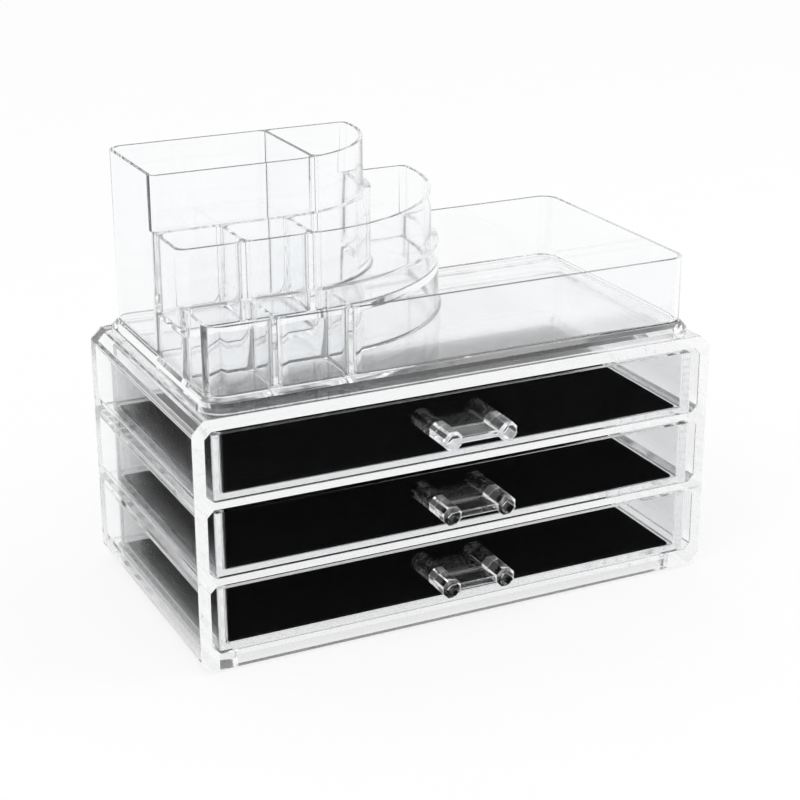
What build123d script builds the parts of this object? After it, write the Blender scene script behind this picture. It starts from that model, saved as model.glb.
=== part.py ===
from build123d import *
import os

# Clear cosmetics organizer: a case with three drawers and a loose tiered tray on top.
# All sizes are in millimetres. +Z is up, -Y is the side the drawers pull out of.
# Every piece is drawn in the case's own frame, with x = 0 in the middle, y = 0 on the
# case's front face and z = 0 under the case, and then placed by the home location.

# Case: one clear moulding, open at the front, with three bays one above the other
case_width = 238.0
case_depth = 128.0
case_corner_chamfer = 5.1
case_corner_soften = 1.2
side_wall = 5.3
top_wall = 5.2
floor_plate = 4.0
skirt_height = 4.0
skirt_side_width = 11.0
skirt_end_width = 5.0
skirt_corner_radius = 6.0
back_wall = 3.2
shelf_thickness = 3.3
bay_count = 3
bay_height = 29.6
bay_corner_chamfer = 2.9
bay_corner_soften = 0.8
case_edge_round = 0.6

# Rubber feet stuck under the case's corners
foot_diameter = 9.0
foot_height = 0.9
foot_edge_bevel = 0.25
foot_from_side = 11.6
foot_from_end = 8.0
foot_boss_margin = 1.5

# Drawers: clear boxes with a running gap under, over, beside and behind them
drawer_under_gap = 0.3
drawer_over_gap = 1.8
drawer_side_gap = 3.0
drawer_back_gap = 10.5
drawer_recess = 0.8
drawer_side_wall = 3.4
drawer_end_wall = 2.4
drawer_floor = 1.8
drawer_corner_radius = 1.2
drawer_inner_radius = 1.6
drawer_floor_round = 0.9
drawer_edge_round = 0.5

# Black pad lying on each drawer's floor
liner_left_gap = 1.1
liner_right_gap = 2.8
liner_end_gap = 1.1
liner_thickness = 1.0
liner_corner_radius = 1.5

# Handle: two eight-sided posts with a flat plate between them, bonded to the drawer's front
post_spacing = 25.2
post_sides = 8
post_across_flats = 8.3
post_length = 14.6
post_bevel = 1.2
plate_depth = 11.8
plate_thickness = 3.0
plate_edge_bevel = 0.5
handle_axis_height = 12.9
plate_drop = 1.0

# Tray: one clear moulding with three steps of cells at the left and an open part at the right
tray_width = 218.4
tray_depth = 117.6
tray_corner_radius = 8.0
tray_wall = 1.8
tray_floor = 2.2
tray_foot_height = 5.8
tray_foot_flare = 3.4
tray_foot_bevel = 3.0
tray_foot_wall = 2.4
low_rim_height = 34.5
tier_rise = 23.0
cell_floor_height = 24.6
tall_radius = 49.3
middle_radius = 79.0
tier_step = 3.3
bend_x = -47.0
cell_pitch = 28.9
tall_divider_x = -37.0
cell_corner_radius = 4.0
cell_floor_round = 1.2
tray_inner_round = 3.0
tier_corner_radius = 3.6

# Sizes that follow from the ones above
bay_pitch = bay_height + shelf_thickness
first_bay_floor = skirt_height + floor_plate
case_height = first_bay_floor + bay_count * bay_height + (bay_count - 1) * shelf_thickness + top_wall
bay_width = case_width - 2 * side_wall
bay_depth = case_depth - back_wall
drawer_width = bay_width - 2 * drawer_side_gap
drawer_length = bay_depth - drawer_recess - drawer_back_gap
drawer_inside_width = drawer_width - 2 * drawer_side_wall
drawer_inside_length = drawer_length - 2 * drawer_end_wall
drawer_height = bay_height - drawer_under_gap - drawer_over_gap
handle_overhang = post_length - drawer_recess
middle_rim_height = low_rim_height + tier_rise
tall_rim_height = low_rim_height + 2 * tier_rise
tray_left = -tray_width / 2
tray_back = case_depth / 2 + tray_depth / 2
tray_front = case_depth / 2 - tray_depth / 2
bend_y = tray_back - tray_corner_radius

# The origin lies on the table, in the middle of the whole outline, handles included
home = Location((0, (handle_overhang - case_depth) / 2, foot_height))


def bay_floor(index):
    """Height of one bay's floor above the case's underside."""
    return first_bay_floor + index * bay_pitch


def chamfered_rectangle(width, height, corner, soften):
    """Rectangle with chamfered corners, each chamfer's two ends softened by a small round."""
    outline = Rectangle(width, height)
    outline = chamfer(outline.vertices(), corner)
    return fillet(outline.vertices(), soften)


def block_back(outline, depth):
    """Block over an upright outline that runs back from y = 0, centred on x = 0 and z = 0."""
    return extrude(Plane.XZ * outline, -depth)


def slab(width, depth, radius, height):
    """Round-cornered slab that stands on z = 0, centred on x = 0 and y = 0."""
    return extrude(RectangleRounded(width, depth, radius), height)


def foot_places():
    """Centre of each foot under the case, as (side, end, x, y)."""
    places = []
    foot_x = case_width / 2 - foot_from_side
    for end, y in (("front", foot_from_end), ("rear", case_depth - foot_from_end)):
        for side, x in (("left", -foot_x), ("right", foot_x)):
            places.append((side, end, x, y))
    return places


def make_case_shell():
    outside = chamfered_rectangle(case_width, case_height, case_corner_chamfer, case_corner_soften)
    shell = Pos(0, 0, case_height / 2) * block_back(outside, case_depth)
    rear_edges = shell.faces().sort_by(Axis.Y)[-1].edges()
    shell = fillet(rear_edges, case_edge_round)
    bay = chamfered_rectangle(bay_width, bay_height, bay_corner_chamfer, bay_corner_soften)
    for index in range(bay_count):
        shell -= Pos(0, 0, bay_floor(index) + bay_height / 2) * block_back(bay, bay_depth)
    front_edges = shell.faces().sort_by(Axis.Y)[0].edges()
    shell = fillet(front_edges, case_edge_round)
    recess_width = case_width - 2 * skirt_side_width
    recess_depth = case_depth - 2 * skirt_end_width
    recess = Pos(0, case_depth / 2, 0) * slab(recess_width, recess_depth, skirt_corner_radius, skirt_height)
    boss_radius = foot_diameter / 2 + foot_boss_margin
    for side, end, x, y in foot_places():
        recess -= Pos(x, y, skirt_height / 2) * Cylinder(boss_radius, skirt_height)
    return shell - recess


def make_foot(x, y):
    foot = Cylinder(foot_diameter / 2, foot_height)
    foot = chamfer(foot.edges().sort_by(Axis.Z)[0], foot_edge_bevel)
    return Pos(x, y, -foot_height / 2) * foot


def make_drawer(index):
    floor_z = bay_floor(index) + drawer_under_gap
    middle_y = drawer_recess + drawer_length / 2
    box = slab(drawer_width, drawer_length, drawer_corner_radius, drawer_height)
    box = fillet(box.faces().sort_by(Axis.Z)[0].edges(), drawer_edge_round)
    inside = slab(drawer_inside_width, drawer_inside_length, drawer_inner_radius, drawer_height)
    inside = fillet(inside.faces().sort_by(Axis.Z)[0].edges(), drawer_floor_round)
    box -= Pos(0, 0, drawer_floor) * inside
    return Pos(0, middle_y, floor_z) * box


def make_liner(index):
    liner_z = bay_floor(index) + drawer_under_gap + drawer_floor
    middle_y = drawer_recess + drawer_length / 2
    middle_x = (liner_left_gap - liner_right_gap) / 2
    liner_width = drawer_inside_width - liner_left_gap - liner_right_gap
    liner_length = drawer_inside_length - 2 * liner_end_gap
    liner = slab(liner_width, liner_length, liner_corner_radius, liner_thickness)
    return Pos(middle_x, middle_y, liner_z) * liner


def make_handle(index):
    axis_z = bay_floor(index) + handle_axis_height
    half_side_turn = 180 / post_sides
    polygon = RegularPolygon(post_across_flats / 2, post_sides, major_radius=False, rotation=half_side_turn)
    outline = Plane.XZ * polygon
    post = extrude(outline, post_length)
    post = chamfer(post.faces().sort_by(Axis.Y)[0].edges(), post_bevel)
    plate = Pos(0, -plate_depth / 2, -plate_drop) * Box(post_spacing, plate_depth, plate_thickness)
    front_edges = plate.faces().sort_by(Axis.Y)[0].edges().filter_by(Axis.X)
    plate = chamfer(front_edges, plate_edge_bevel)
    handle = plate + Pos(-post_spacing / 2, 0, 0) * post + Pos(post_spacing / 2, 0, 0) * post
    return Pos(0, drawer_recess, axis_z) * handle


def tray_plan(inset):
    """Plan of the tray's low wall, moved in by inset on every side."""
    plan = RectangleRounded(tray_width - 2 * inset, tray_depth - 2 * inset, tray_corner_radius - inset)
    return Pos(0, case_depth / 2) * plan


def strip(left, right):
    """Plan of everything between two x positions, deeper than the tray."""
    return Pos((left + right) / 2, case_depth / 2) * Rectangle(right - left, 2 * case_depth)


def bend_side(radius):
    """Plan of everything behind one step's front line: straight up to bend_x, then round the bend.

    It runs past the tray at the left and at the back.
    """
    behind = bend_y + case_depth / 2
    straight = Pos(bend_x - case_width / 2, behind - radius) * Rectangle(case_width, case_depth)
    straight += Pos(bend_x - case_width / 2, behind) * Rectangle(case_width, case_depth)
    right = Pos(bend_x, behind) * Rectangle(2 * radius, case_depth)
    return straight + Pos(bend_x, bend_y) * Circle(radius) + right


def direction_at(edge, corner):
    """Direction of an edge at whichever of its ends is at the corner."""
    at_start = (edge @ 0 - corner.center()).length < (edge @ 1 - corner.center()).length
    return edge % (0 if at_start else 1)


def sharp_corners(plan):
    """Corners of a plan where two edges meet at an angle."""
    smooth_join_cosine = 0.99
    corners = []
    for corner in plan.vertices():
        first, second = [edge for edge in plan.edges() if corner in edge.vertices()]
        if abs(direction_at(first, corner).dot(direction_at(second, corner))) < smooth_join_cosine:
            corners.append(corner)
    return corners


def round_corners(plan, radius):
    return fillet(sharp_corners(plan), radius)


def tier_plan(radius, inset):
    """Plan of one step, moved in by inset on every side; radius is its outer bend radius."""
    return round_corners(tray_plan(inset) & bend_side(radius - inset), tier_corner_radius - inset)


def raised(plan, bottom, top):
    """Solid over a plan, between two heights above the tray's underside."""
    return Pos(0, 0, bottom) * extrude(plan, top - bottom)


def pocket(plan, bottom, top):
    """Space to cut out of the tray, with its floor edges rounded."""
    space = extrude(plan, top - bottom)
    space = fillet(space.faces().sort_by(Axis.Z)[0].edges(), cell_floor_round)
    return Pos(0, 0, bottom) * space


def round_rectangle(left, right, front, back, radius):
    """Round-cornered rectangle between two x and two y positions."""
    plan = RectangleRounded(right - left, back - front, radius)
    return Pos((left + right) / 2, (front + back) / 2) * plan


def make_tray_body():
    """The tray's outer mass: foot, low block and the two higher steps, before the cells are cut."""
    foot_width = tray_width + 2 * tray_foot_flare
    foot_depth = tray_depth + 2 * tray_foot_flare
    foot = slab(foot_width, foot_depth, tray_corner_radius + tray_foot_flare, tray_foot_height)
    foot = chamfer(foot.faces().sort_by(Axis.Z)[-1].edges(), tray_foot_bevel)
    body = Pos(0, case_depth / 2, 0) * foot
    body += raised(tray_plan(0), tray_foot_height, low_rim_height)
    body += raised(tier_plan(middle_radius, 0), low_rim_height, middle_rim_height)
    return body + raised(tier_plan(tall_radius, 0), middle_rim_height, tall_rim_height)


def open_part_plan():
    """Plan of the open part at the right: inside the low wall, outside the steps and front cells."""
    plan = tray_plan(tray_wall) & strip(bend_x, case_width)
    return round_corners(plan - bend_side(middle_radius + tier_step), tray_inner_round)


def tall_cell_plans():
    """Plans of the two tall cells, one each side of the tall divider."""
    inside = tier_plan(tall_radius, tray_wall)
    left_cell = inside & strip(-case_width, tall_divider_x - tray_wall / 2)
    right_cell = inside & strip(tall_divider_x + tray_wall / 2, case_width)
    return [round_corners(left_cell, tray_inner_round), round_corners(right_cell, tray_inner_round)]


def cell_span(index):
    """Left and right x of one small cell's inside, counted from the tray's left wall."""
    left = tray_left + index * cell_pitch + (tray_wall if index == 0 else tray_wall / 2)
    return left, tray_left + (index + 1) * cell_pitch - tray_wall / 2


def middle_cell_plans():
    """Plans of the middle step's two small cells and of its bent cell."""
    front = bend_y - middle_radius + tray_wall
    back = bend_y - tall_radius - tier_step
    plans = [round_rectangle(*cell_span(index), front, back, cell_corner_radius) for index in range(2)]
    bent = tray_plan(tray_wall) & bend_side(middle_radius - tray_wall) & strip(cell_span(2)[0], case_width)
    bent = round_corners(bent - bend_side(tall_radius + tier_step), tray_inner_round)
    return plans + [bent]


def front_cell_plans():
    """Plans of the front step's two small cells; the second reaches to where the bend starts."""
    front = tray_front + tray_wall
    back = bend_y - middle_radius - tier_step
    first = round_rectangle(*cell_span(0), front, back, cell_corner_radius)
    second = round_rectangle(cell_span(1)[0], bend_x - tray_wall, front, back, cell_corner_radius)
    return [first, second]


def under_cells_plan():
    """Plan of the hollow under the middle step, which is open from below."""
    plan = tray_plan(tray_wall) & bend_side(middle_radius + tier_step - tray_wall)
    return round_corners(plan - bend_side(tall_radius), tray_inner_round)


def make_tray():
    tray = make_tray_body()
    tray -= pocket(open_part_plan(), tray_foot_height, tall_rim_height)
    for plan in tall_cell_plans():
        tray -= pocket(plan, tray_foot_height, tall_rim_height)
    for plan in middle_cell_plans():
        tray -= pocket(plan, cell_floor_height, tall_rim_height)
    for plan in front_cell_plans():
        tray -= pocket(plan, tray_foot_height, tall_rim_height)
    foot_inset = tray_foot_flare - tray_foot_wall
    tray -= raised(tray_plan(-foot_inset), 0, tray_foot_height - tray_floor)
    tray -= raised(under_cells_plan(), 0, cell_floor_height - tray_floor)
    return Pos(0, 0, case_height) * tray


parts = {}
parts["case_shell"] = make_case_shell()
for side, end, x, y in foot_places():
    parts[f"foot_{end}_{side}"] = make_foot(x, y)
for index, level in enumerate(("bottom", "middle", "top")):
    parts[f"drawer_{level}"] = make_drawer(index)
    parts[f"drawer_handle_{level}"] = make_handle(index)
    parts[f"drawer_liner_{level}"] = make_liner(index)

parts["top_tray"] = make_tray()

os.makedirs("parts", exist_ok=True)
for name, shape in parts.items():
    export_step(home * shape, f"parts/{name}.step")
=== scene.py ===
"""Looks of a clear cosmetics organizer: finishes, pads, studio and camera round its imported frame.

Every length is in metres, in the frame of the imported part: +X right, +Y to the rear, +Z up,
with the origin on the table under the middle of the object.
"""

from __future__ import annotations

import logging
import math
from dataclasses import dataclass, field
from enum import Enum

import bmesh
import bpy
from mathutils import Euler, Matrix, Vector


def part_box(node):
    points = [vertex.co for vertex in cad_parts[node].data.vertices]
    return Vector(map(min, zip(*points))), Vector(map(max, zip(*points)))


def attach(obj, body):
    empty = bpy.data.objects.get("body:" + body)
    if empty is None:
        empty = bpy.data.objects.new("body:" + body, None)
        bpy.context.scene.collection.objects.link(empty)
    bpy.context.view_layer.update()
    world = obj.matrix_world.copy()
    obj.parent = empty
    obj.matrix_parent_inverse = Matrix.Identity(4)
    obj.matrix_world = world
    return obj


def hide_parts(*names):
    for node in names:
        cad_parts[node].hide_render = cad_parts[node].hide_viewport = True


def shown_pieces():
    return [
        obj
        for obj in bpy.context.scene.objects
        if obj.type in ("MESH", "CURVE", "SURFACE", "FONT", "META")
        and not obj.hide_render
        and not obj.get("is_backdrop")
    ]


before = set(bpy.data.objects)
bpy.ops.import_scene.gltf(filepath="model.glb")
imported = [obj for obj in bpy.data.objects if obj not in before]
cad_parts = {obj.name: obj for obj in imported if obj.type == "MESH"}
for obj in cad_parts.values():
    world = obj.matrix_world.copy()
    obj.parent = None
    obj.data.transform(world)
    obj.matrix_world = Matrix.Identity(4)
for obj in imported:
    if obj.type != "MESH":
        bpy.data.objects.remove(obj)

LOG = logging.getLogger("organizer")
MILLIMETRE = 0.001

Colour = tuple[float, float, float]
Place = tuple[float, float, float]


class Level(Enum):
    """The three drawers, from the lowest up."""

    BOTTOM = "bottom"
    MIDDLE = "middle"
    TOP = "top"


class Slot(Enum):
    """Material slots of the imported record."""

    CASE = "case_clear"
    DRAWER = "drawer_clear"
    HANDLE = "handle_clear"
    TRAY = "tray_clear"
    LINER = "liner_black"
    FOOT = "foot_rubber"


class ShaderGraph:
    """Adds and links the nodes of one material or world."""

    def __init__(self, tree: bpy.types.NodeTree) -> None:
        """Start from an empty node tree.

        Args:
            tree: the node tree to fill.
        """
        self.tree = tree
        tree.nodes.clear()

    def add(self, kind: str, inputs: dict | None = None, **settings: object) -> bpy.types.Node:
        """Add a node.

        Args:
            kind: the node's type name.
            inputs: socket name or index to a value, or to the socket that feeds it.
            settings: attributes of the node.

        Returns:
            The new node.
        """
        node = self.tree.nodes.new(kind)
        for name, value in settings.items():
            setattr(node, name, value)
        for name, value in (inputs or {}).items():
            if isinstance(value, bpy.types.NodeSocket):
                self.tree.links.new(value, node.inputs[name])
            else:
                node.inputs[name].default_value = value
        return node

    def math(self, operation: str, first: object, second: object = 0.0) -> bpy.types.NodeSocket:
        """Add a Math node.

        Args:
            operation: its operation.
            first: a value or socket.
            second: a value or socket.

        Returns:
            Its output socket.
        """
        return self.add("ShaderNodeMath", {0: first, 1: second}, operation=operation).outputs[0]

    def noise(self, scale: float, detail: float = 2.0) -> bpy.types.NodeSocket:
        """Add a noise pattern on Object coordinates.

        Args:
            scale: waves per metre.
            detail: octaves of finer noise.

        Returns:
            The noise's value socket, from 0 to 1.
        """
        place = self.add("ShaderNodeTexCoord").outputs["Object"]
        return self.add("ShaderNodeTexNoise", {"Vector": place, "Scale": scale, "Detail": detail}).outputs[0]

    def spread(self, value: bpy.types.NodeSocket, low: float, high: float,
               start: float = 0.3, end: float = 0.7) -> bpy.types.NodeSocket:
        """Map a 0 to 1 pattern onto another range.

        Args:
            value: the pattern.
            low: result where the pattern is at start or less.
            high: result where the pattern is at end or more.
            start: lower end of the pattern's range.
            end: upper end of the pattern's range.

        Returns:
            The mapped value's socket.
        """
        inputs = {"Value": value, "From Min": start, "From Max": end, "To Min": low, "To Max": high}
        return self.add("ShaderNodeMapRange", inputs).outputs[0]

    def blend(self, factor: bpy.types.NodeSocket, first: Colour, second: Colour) -> bpy.types.NodeSocket:
        """Mix two colours by a pattern.

        Args:
            factor: the pattern.
            first: colour where the pattern is 0.
            second: colour where the pattern is 1.

        Returns:
            The mixed colour's socket.
        """
        node = self.add("ShaderNodeMix", {0: factor}, data_type="RGBA")
        node.inputs[6].default_value = (*first, 1.0)
        node.inputs[7].default_value = (*second, 1.0)
        return node.outputs[2]


def new_material(name: str) -> tuple[bpy.types.Material, ShaderGraph]:
    """Make an empty node material.

    Args:
        name: the material's name.

    Returns:
        The material and its graph.
    """
    material = bpy.data.materials.new(name)
    material.use_nodes = True
    return material, ShaderGraph(material.node_tree)


@dataclass(frozen=True)
class ClearPlastic:
    """Polished clear moulded plastic, with the faint ripple and haze that moulding leaves.

    Painted shade: the base colour is darkened for light that has turned inside the walls more often than
    clear_turns, down to 1 minus the painted edge shade at dim_turns, which draws the thin dark lines along the
    edges.
    """

    name: str
    pale: Colour = (0.995, 0.997, 1.0)
    deep: Colour = (0.975, 0.982, 0.988)
    tint_scale: float = 22.5
    index: float = 1.49
    ripple_scale: float = 45.0
    ripple_depth: float = 0.000003
    haze_scale: float = 900.0
    haze_start: float = 0.45
    haze_end: float = 0.8
    smoothest: float = 0.03
    roughest: float = 0.08
    # painted shade along the edges: the glossy depth where it starts and where it is full, and how much it darkens
    # the base colour
    clear_turns: float = 40.0
    dim_turns: float = 80.0
    painted_edge_shade: float = 0.2

    def material(self) -> bpy.types.Material:
        """Return the finished material."""
        material, graph = new_material(self.name)
        tint_and_painted_shade = graph.blend(graph.spread(graph.noise(self.tint_scale), 0.0, 1.0), self.pale, self.deep)
        # painted shade: the random tint is darkened with glossy depth to draw dark lines along the edges
        turns = graph.add("ShaderNodeLightPath").outputs["Glossy Depth"]
        painted_shade_factor = graph.spread(turns, 1.0, 1.0 - self.painted_edge_shade, self.clear_turns, self.dim_turns)
        tint_and_painted_shade = graph.add("ShaderNodeVectorMath", {0: tint_and_painted_shade, "Scale": painted_shade_factor}, operation="SCALE").outputs[0]
        patches = graph.noise(self.haze_scale, 4.0)
        haze = graph.spread(patches, self.smoothest, self.roughest, self.haze_start, self.haze_end)
        ripple = graph.noise(self.ripple_scale, 1.0)
        bump = graph.add("ShaderNodeBump", {"Height": ripple, "Distance": self.ripple_depth, "Strength": 1.0})
        shader = graph.add("ShaderNodeBsdfPrincipled", {
            "Base Color": tint_and_painted_shade,
            "Roughness": haze,
            "IOR": self.index,
            "Transmission Weight": 1.0,
            "Normal": bump.outputs[0],
        })
        graph.add("ShaderNodeOutputMaterial", {"Surface": shader.outputs[0]})
        return material


@dataclass(frozen=True)
class PadFabric:
    """Black mesh-faced foam of the drawer pads."""

    name: str
    dark: Colour = (0.004, 0.004, 0.005)
    light: Colour = (0.008, 0.008, 0.009)
    mesh_pitch: float = 0.0016
    mesh_turn: float = math.pi / 4
    mesh_unevenness: float = 0.15
    thread_start: float = 0.02
    thread_end: float = 0.3
    relief: float = 0.0002
    relief_strength: float = 0.6
    lint_scale: float = 1400.0
    smoothest: float = 0.7
    roughest: float = 0.95

    def material(self) -> bpy.types.Material:
        """Return the finished material."""
        material, graph = new_material(self.name)
        place = graph.add("ShaderNodeTexCoord").outputs["Object"]
        turned = graph.add("ShaderNodeMapping", {"Vector": place, "Rotation": (0.0, 0.0, self.mesh_turn)}).outputs[0]
        cells = graph.add("ShaderNodeTexVoronoi", {
            "Vector": turned,
            "Scale": 1 / self.mesh_pitch,
            "Randomness": self.mesh_unevenness,
        }, feature="DISTANCE_TO_EDGE").outputs[0]
        weave = graph.spread(cells, 0.0, 1.0, self.thread_start, self.thread_end)
        lint = graph.spread(graph.noise(self.lint_scale, 3.0), self.smoothest, self.roughest)
        bump = graph.add("ShaderNodeBump", {
            "Height": weave,
            "Distance": self.relief,
            "Strength": self.relief_strength,
        }, invert=True)
        shader = graph.add("ShaderNodeBsdfPrincipled", {
            "Base Color": graph.blend(weave, self.light, self.dark),
            "Roughness": lint,
            "Specular IOR Level": 0.0,
            "Normal": bump.outputs[0],
        })
        graph.add("ShaderNodeOutputMaterial", {"Surface": shader.outputs[0]})
        return material


@dataclass(frozen=True)
class FootRubber:
    """Soft translucent grey rubber of the stick-on feet."""

    name: str
    pale: Colour = (0.62, 0.63, 0.64)
    grey: Colour = (0.48, 0.49, 0.5)
    mottle_scale: float = 500.0
    scuff_scale: float = 2500.0
    smoothest: float = 0.45
    roughest: float = 0.7
    grain_scale: float = 3000.0
    grain_depth: float = 0.00002
    milkiness: float = 0.2
    milk_depth: float = 0.002

    def material(self) -> bpy.types.Material:
        """Return the finished material."""
        material, graph = new_material(self.name)
        mottle = graph.spread(graph.noise(self.mottle_scale, 4.0), 0.0, 1.0)
        rough = graph.spread(graph.noise(self.scuff_scale), self.smoothest, self.roughest)
        bump = graph.add("ShaderNodeBump", {"Height": graph.noise(self.grain_scale), "Distance": self.grain_depth})
        shader = graph.add("ShaderNodeBsdfPrincipled", {
            "Base Color": graph.blend(mottle, self.pale, self.grey),
            "Roughness": rough,
            "Subsurface Weight": self.milkiness,
            "Subsurface Scale": self.milk_depth,
            "Normal": bump.outputs[0],
        })
        graph.add("ShaderNodeOutputMaterial", {"Surface": shader.outputs[0]})
        return material


@dataclass
class Moulding:
    """A clear moulding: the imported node's own shape with smooth faces and softly broken edges."""

    node: str
    body: str
    slot: Slot
    finish: bpy.types.Material
    edge_break: float = 0.2 * MILLIMETRE
    edge_segments: int = 2
    skin_ease: float = 0.02 * MILLIMETRE
    flat_angle: float = math.radians(0.6)
    sharp_angle: float = math.radians(35.0)
    merge_distance: float = 1e-6

    def build(self) -> bpy.types.Object:
        """Build the piece and put it on its body.

        Returns:
            The new object, which stands for its node.
        """
        piece = bpy.data.objects.new(f"{self.node}_moulding", bpy.data.meshes.new(f"{self.node}_moulding"))
        bpy.context.scene.collection.objects.link(piece)
        shape = bmesh.new()
        shape.from_mesh(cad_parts[self.node].data)
        bmesh.ops.remove_doubles(shape, verts=shape.verts, dist=self.merge_distance)
        bmesh.ops.dissolve_limit(shape, angle_limit=self.flat_angle, verts=shape.verts, edges=shape.edges)
        bmesh.ops.triangulate(shape, faces=shape.faces, quad_method="BEAUTY", ngon_method="BEAUTY")
        self.ease_skin(shape)
        self.break_edges(shape)
        shape.to_mesh(piece.data)
        shape.free()
        piece.data.shade_smooth()
        piece.data.set_sharp_from_angle(angle=self.sharp_angle)
        even = piece.modifiers.new("even_shading", "WEIGHTED_NORMAL")
        even.mode = "FACE_AREA"
        even.weight = 100
        even.keep_sharp = True
        piece.data.materials.clear()
        piece.data.materials.append(self.finish)
        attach(piece, self.body)
        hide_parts(self.node)
        return piece

    def ease_skin(self, shape: bmesh.types.BMesh) -> None:
        """Draw the skin in by a hair, so that pieces that touch keep a film of air between them.

        Args:
            shape: the moulding's mesh.
        """
        shape.normal_update()
        moves = [vertex.normal * vertex.calc_shell_factor() * self.skin_ease for vertex in shape.verts]
        for vertex, move in zip(shape.verts, moves):
            vertex.co -= move

    def break_edges(self, shape: bmesh.types.BMesh) -> None:
        """Round the edges that the mould leaves crisp.

        Args:
            shape: the moulding's mesh.
        """
        crisp = [edge for edge in shape.edges
                 if edge.is_manifold and edge.calc_face_angle(0.0) > self.sharp_angle]
        bmesh.ops.bevel(shape, geom=crisp, offset=self.edge_break, offset_type="OFFSET",
                        segments=self.edge_segments, profile=0.5, affect="EDGES", clamp_overlap=True, material=-1)


@dataclass
class DrawerPad:
    """The black pad on one drawer's floor: thin foam in a fabric skin, with rolled edges and a low crown."""

    node: str
    body: str
    finish: bpy.types.Material
    lift: float = 0.05 * MILLIMETRE
    corner: float = 1.5 * MILLIMETRE
    corner_segments: int = 6
    edge_roll: float = 0.35 * MILLIMETRE
    edge_segments: int = 3
    rim_angle: float = math.radians(60.0)
    cell: float = 6.0 * MILLIMETRE
    crown: float = 0.4 * MILLIMETRE
    crown_run: float = 16.0 * MILLIMETRE
    unevenness: float = 0.07 * MILLIMETRE
    wave_length: float = 46.0 * MILLIMETRE
    wave_stretch: float = 0.8
    wave_skew: float = 0.3
    phase_per_metre: float = 900.0

    def build(self) -> bpy.types.Object:
        """Build the pad and put it on its body.

        Returns:
            The new object, which stands for its node.
        """
        low, high = (Vector(corner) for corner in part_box(self.node))
        piece = bpy.data.objects.new(f"{self.node}_pad", bpy.data.meshes.new(f"{self.node}_pad"))
        bpy.context.scene.collection.objects.link(piece)
        shape = self.rolled_slab(low, high)
        self.cut_grid(shape, low, high)
        self.raise_crown(shape, low, high)
        shape.to_mesh(piece.data)
        shape.free()
        piece.data.shade_smooth()
        piece.data.materials.append(self.finish)
        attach(piece, self.body)
        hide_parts(self.node)
        return piece

    def rolled_slab(self, low: Vector, high: Vector) -> bmesh.types.BMesh:
        """Make the pad's slab, with round corners and rolled upper and lower edges.

        Args:
            low: the pad's lowest corner.
            high: the pad's highest corner.

        Returns:
            The slab's mesh.
        """
        shape = bmesh.new()
        bmesh.ops.create_cube(shape, size=1.0)
        bmesh.ops.scale(shape, vec=high - low, verts=shape.verts)
        bmesh.ops.translate(shape, vec=(low + high) / 2 + Vector((0.0, 0.0, self.lift)), verts=shape.verts)
        upright = [edge for edge in shape.edges if abs(edge.verts[0].co.z - edge.verts[1].co.z) > self.edge_roll]
        bmesh.ops.bevel(shape, geom=upright, offset=self.corner, offset_type="OFFSET",
                        segments=self.corner_segments, profile=0.5, affect="EDGES", material=-1)
        shape.normal_update()
        rims = [edge for edge in shape.edges if edge.calc_face_angle(0.0) > self.rim_angle]
        bmesh.ops.bevel(shape, geom=rims, offset=self.edge_roll, offset_type="OFFSET",
                        segments=self.edge_segments, profile=0.5, affect="EDGES", material=-1)
        return shape

    def cut_grid(self, shape: bmesh.types.BMesh, low: Vector, high: Vector) -> None:
        """Cut the slab into small cells, so that its top can be shaped.

        Args:
            shape: the slab's mesh.
            low: the pad's lowest corner.
            high: the pad's highest corner.
        """
        for axis, normal in ((0, (1.0, 0.0, 0.0)), (1, (0.0, 1.0, 0.0))):
            count = round((high[axis] - low[axis]) / self.cell)
            for step in range(1, count):
                place = low.copy()
                place[axis] = low[axis] + (high[axis] - low[axis]) * step / count
                everything = shape.verts[:] + shape.edges[:] + shape.faces[:]
                bmesh.ops.bisect_plane(shape, geom=everything, plane_co=place, plane_no=normal)

    def raise_crown(self, shape: bmesh.types.BMesh, low: Vector, high: Vector) -> None:
        """Raise the pad's top into a low, slightly uneven crown.

        Args:
            shape: the slab's mesh.
            low: the pad's lowest corner.
            high: the pad's highest corner.
        """
        top = high.z + self.lift
        turn = 2.0 * math.pi / self.wave_length
        for vertex in shape.verts:
            if vertex.co.z < top - self.edge_roll / 2:
                continue
            x, y = vertex.co.x, vertex.co.y
            inwards = max(0.0, min(x - low.x, high.x - x, y - low.y, high.y - y))
            rise = 1.0 - (1.0 - min(inwards / self.crown_run, 1.0)) ** 2
            along = math.sin(turn * x + top * self.phase_per_metre)
            across = math.sin(turn * self.wave_stretch * y + x * turn * self.wave_skew)
            vertex.co.z += rise * (self.crown + self.unevenness * (along * across))


@dataclass(frozen=True)
class SoftLamp:
    """One square area lamp, aimed at the organizer."""

    name: str
    place: Place
    power: float
    size: float = 0.8
    aim_height: float = 0.08

    def hang(self) -> None:
        """Add the lamp to the scene."""
        data = bpy.data.lights.new(self.name, "AREA")
        data.size = self.size
        data.energy = self.power
        lamp = bpy.data.objects.new(self.name, data)
        lamp.location = self.place
        aim = Vector((0.0, 0.0, self.aim_height)) - lamp.location
        lamp.rotation_euler = aim.to_track_quat("-Z", "Y").to_euler()
        bpy.context.scene.collection.objects.link(lamp)


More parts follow.
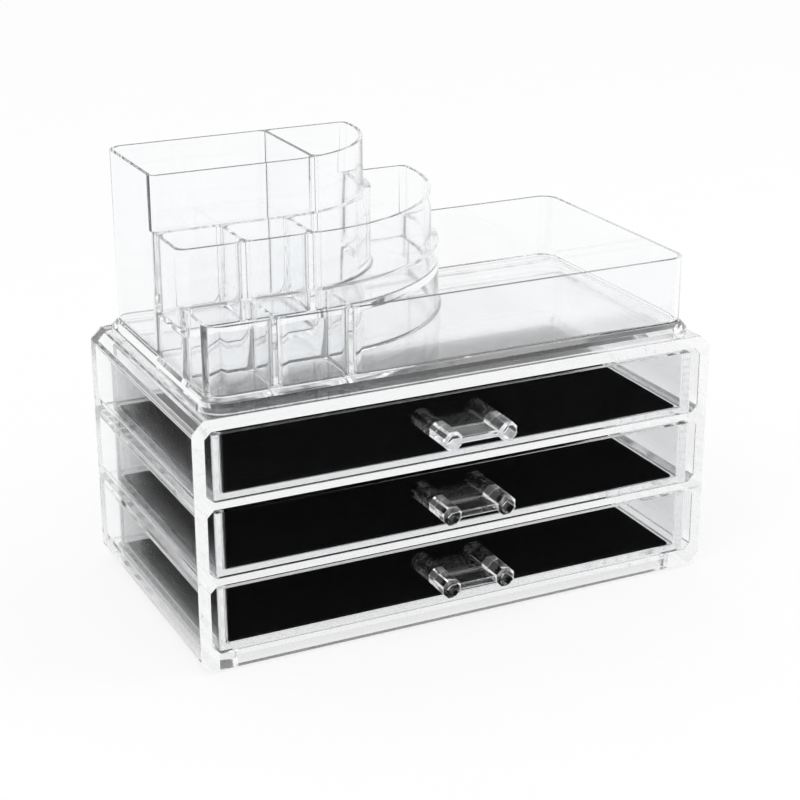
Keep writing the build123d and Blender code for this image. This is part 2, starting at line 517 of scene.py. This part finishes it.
@dataclass
class Studio:
    """White bright-field studio: floor, world, lamps and camera."""

    case_low: Vector
    case_high: Vector
    camera_from_front: Vector = field(default_factory=lambda: Vector((-0.34599, -0.65027, 0.37845)))
    camera_heading: float = math.radians(25.893)
    camera_tilt: float = math.radians(20.778)
    camera_roll: float = math.radians(0.132)
    lens: float = 86.76
    sensor_width: float = 36.0
    nearest: float = 0.01
    farthest: float = 50.0
    floor_size: float = 6.0
    floor_dark: Colour = (0.94, 0.94, 0.94)
    floor_pale: Colour = (0.96, 0.96, 0.96)
    speckle_scale: float = 30.0
    shadow_share: float = 0.18
    ambient: float = 0.9
    room: float = 0.03
    flag_reach: float = 0.3
    flag_spare: float = 0.03
    flag_blur: float = 0.008
    side_slant: float = 0.31
    side_run: float = 0.095
    wall_crossings: int = 128
    wall_mirrorings: int = 64
    see_through_layers: int = 40

    def build(self) -> None:
        """Build the whole studio."""
        self.add_camera()
        self.add_floor()
        self.light_world()
        SoftLamp("key_lamp", (-0.9, -0.7, 1.3), 5.0).hang()
        SoftLamp("fill_lamp", (1.1, -0.5, 1.0), 3.0).hang()
        self.set_view()

    def add_camera(self) -> None:
        """Place the camera at the photograph's viewpoint."""
        data = bpy.data.cameras.new("photo_camera")
        data.lens = self.lens
        data.sensor_width = self.sensor_width
        data.clip_start = self.nearest
        data.clip_end = self.farthest
        camera = bpy.data.objects.new("photo_camera", data)
        camera.location = Vector((0.0, self.case_low.y, 0.0)) + self.camera_from_front
        turn = Euler((math.pi / 2 - self.camera_tilt, 0.0, -self.camera_heading), "XYZ").to_matrix()
        roll = Euler((0.0, 0.0, -self.camera_roll), "XYZ").to_matrix()
        camera.rotation_euler = (turn @ roll).to_euler()
        bpy.context.scene.collection.objects.link(camera)
        bpy.context.scene.camera = camera

    def add_floor(self) -> None:
        """Lay the pale floor that the organizer stands on."""
        shape = bmesh.new()
        bmesh.ops.create_grid(shape, x_segments=1, y_segments=1, size=self.floor_size / 2)
        mesh = bpy.data.meshes.new("studio_floor")
        shape.to_mesh(mesh)
        shape.free()
        floor = bpy.data.objects.new("studio_floor", mesh)
        bpy.context.scene.collection.objects.link(floor)
        material, graph = new_material("studio_floor")
        speckle = graph.spread(graph.noise(self.speckle_scale, 3.0), 0.0, 1.0)
        paint = graph.blend(speckle, self.floor_dark, self.floor_pale)
        matt = graph.add("ShaderNodeBsdfDiffuse", {"Color": paint})
        glow = graph.add("ShaderNodeEmission", {"Color": (1.0, 1.0, 1.0, 1.0), "Strength": 1.0})
        seen = self.seen_ray(graph)
        share = graph.math("MULTIPLY", seen, 1.0 - self.shadow_share)
        both = graph.add("ShaderNodeMixShader", {0: share, 1: matt.outputs[0], 2: glow.outputs[0]})
        place = graph.add("ShaderNodeTexCoord").outputs["Object"]
        parts = graph.add("ShaderNodeSeparateXYZ", {0: place}).outputs
        across, depth = parts["X"], parts["Y"]
        flags = graph.math("MAXIMUM", self.front_flag(graph, across, depth), self.side_flag(graph, across, depth))
        camera_ray = graph.add("ShaderNodeLightPath").outputs["Is Camera Ray"]
        flagged = graph.math("MULTIPLY", flags, graph.math("SUBTRACT", seen, camera_ray))
        dark = graph.add("ShaderNodeEmission", {"Color": (1.0, 1.0, 1.0, 1.0), "Strength": self.room})
        both = graph.add("ShaderNodeMixShader", {0: flagged, 1: both.outputs[0], 2: dark.outputs[0]})
        graph.add("ShaderNodeOutputMaterial", {"Surface": both.outputs[0]})
        mesh.materials.append(material)
        floor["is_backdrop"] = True

    def band(self, graph: ShaderGraph, value: bpy.types.NodeSocket, low: float, high: float) -> bpy.types.NodeSocket:
        """Return a socket that is 1 between two values and fades out past them.

        Args:
            graph: the graph to add it to.
            value: the socket to test.
            low: lower end of the band.
            high: upper end of the band.
        """
        above = graph.spread(value, 0.0, 1.0, low - self.flag_blur, low)
        below = graph.spread(value, 1.0, 0.0, high, high + self.flag_blur)
        return graph.math("MULTIPLY", above, below)

    def front_flag(self, graph: ShaderGraph, across: bpy.types.NodeSocket,
                   depth: bpy.types.NodeSocket) -> bpy.types.NodeSocket:
        """Return a socket that is 1 on the floor that the case's front mirrors to the camera.

        Args:
            graph: the graph to add it to.
            across: the floor's x.
            depth: the floor's y.
        """
        slant = math.tan(self.camera_heading)
        ahead = graph.math("SUBTRACT", self.case_low.y, depth)
        start = graph.math("SUBTRACT", across, graph.math("MULTIPLY", ahead, slant))
        left, right = self.case_low.x - self.flag_spare, self.case_high.x + self.flag_spare
        return graph.math("MULTIPLY", self.band(graph, ahead, self.flag_blur, self.flag_reach),
                          self.band(graph, start, left, right))

    def side_flag(self, graph: ShaderGraph, across: bpy.types.NodeSocket,
                  depth: bpy.types.NodeSocket) -> bpy.types.NodeSocket:
        """Return a socket that is 1 on the floor that the case's left side mirrors to the camera.

        Args:
            graph: the graph to add it to.
            across: the floor's x.
            depth: the floor's y.
        """
        beside = graph.math("SUBTRACT", self.case_low.x, across)
        start = graph.math("SUBTRACT", depth, graph.math("DIVIDE", beside, self.side_slant))
        front, back = self.case_low.y - self.flag_spare, self.case_low.y + self.side_run
        return graph.math("MULTIPLY", self.band(graph, beside, self.flag_blur, self.flag_reach * self.side_slant),
                          self.band(graph, start, front, back))

    @staticmethod
    def seen_ray(graph: ShaderGraph) -> bpy.types.NodeSocket:
        """Return a socket that is 1 for camera, glossy and transmission rays.

        Args:
            graph: the graph to add it to.
        """
        path = graph.add("ShaderNodeLightPath").outputs
        mirrored = graph.math("MAXIMUM", path["Is Glossy Ray"], path["Is Transmission Ray"])
        return graph.math("MAXIMUM", path["Is Camera Ray"], mirrored)

    def light_world(self) -> None:
        """Surround the scene with white, a little dimmer as a light than as it is seen."""
        world = bpy.data.worlds.new("studio")
        world.use_nodes = True
        bpy.context.scene.world = world
        graph = ShaderGraph(world.node_tree)
        level = graph.add("ShaderNodeMix", {0: self.seen_ray(graph), 2: self.ambient, 3: 1.0}).outputs[0]
        back = graph.add("ShaderNodeBackground", {"Color": (1.0, 1.0, 1.0, 1.0), "Strength": level})
        graph.add("ShaderNodeOutputWorld", {"Surface": back.outputs[0]})

    def set_view(self) -> None:
        """Set the view transform and let light pass through many clear walls."""
        scene = bpy.context.scene
        scene.view_settings.view_transform = "Standard"
        scene.cycles.max_bounces = self.wall_crossings
        scene.cycles.transmission_bounces = self.wall_crossings
        scene.cycles.glossy_bounces = self.wall_mirrorings
        scene.cycles.transparent_max_bounces = self.see_through_layers


def main() -> None:
    """Build the organizer's looks and its studio."""
    logging.basicConfig(level=logging.INFO, format="%(name)s: %(message)s")
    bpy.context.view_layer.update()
    case_low, case_high = (Vector(corner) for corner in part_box("case_shell"))
    clear = ClearPlastic("clear_plastic").material()
    # painted shade: the tray's copy of the clear finish darkens its base colour after fewer turns and much more,
    # drawing darker lines along its edges
    shaded_edge_clear = ClearPlastic("clear_plastic_darker_painted_edges", clear_turns=6.0, dim_turns=14.0, painted_edge_shade=0.85).material()
    pad = PadFabric("black_pad").material()
    rubber = FootRubber("foot_rubber").material()
    Moulding("case_shell", "case", Slot.CASE, clear).build()
    for level in Level:
        body = f"{level.value}_drawer"
        Moulding(f"drawer_{level.value}", body, Slot.DRAWER, clear).build()
        Moulding(f"drawer_handle_{level.value}", body, Slot.HANDLE, clear).build()
        DrawerPad(f"drawer_liner_{level.value}", body, pad).build()
    Moulding("top_tray", "tray", Slot.TRAY, shaded_edge_clear).build()
    for name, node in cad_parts.items():
        if name.startswith("foot_"):
            node.material_slots[0].material = rubber
    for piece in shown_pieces():
        LOG.info("%s: %d faces", piece.name, len(piece.data.polygons))
    Studio(case_low, case_high).build()


if __name__ == "__main__":
    main()
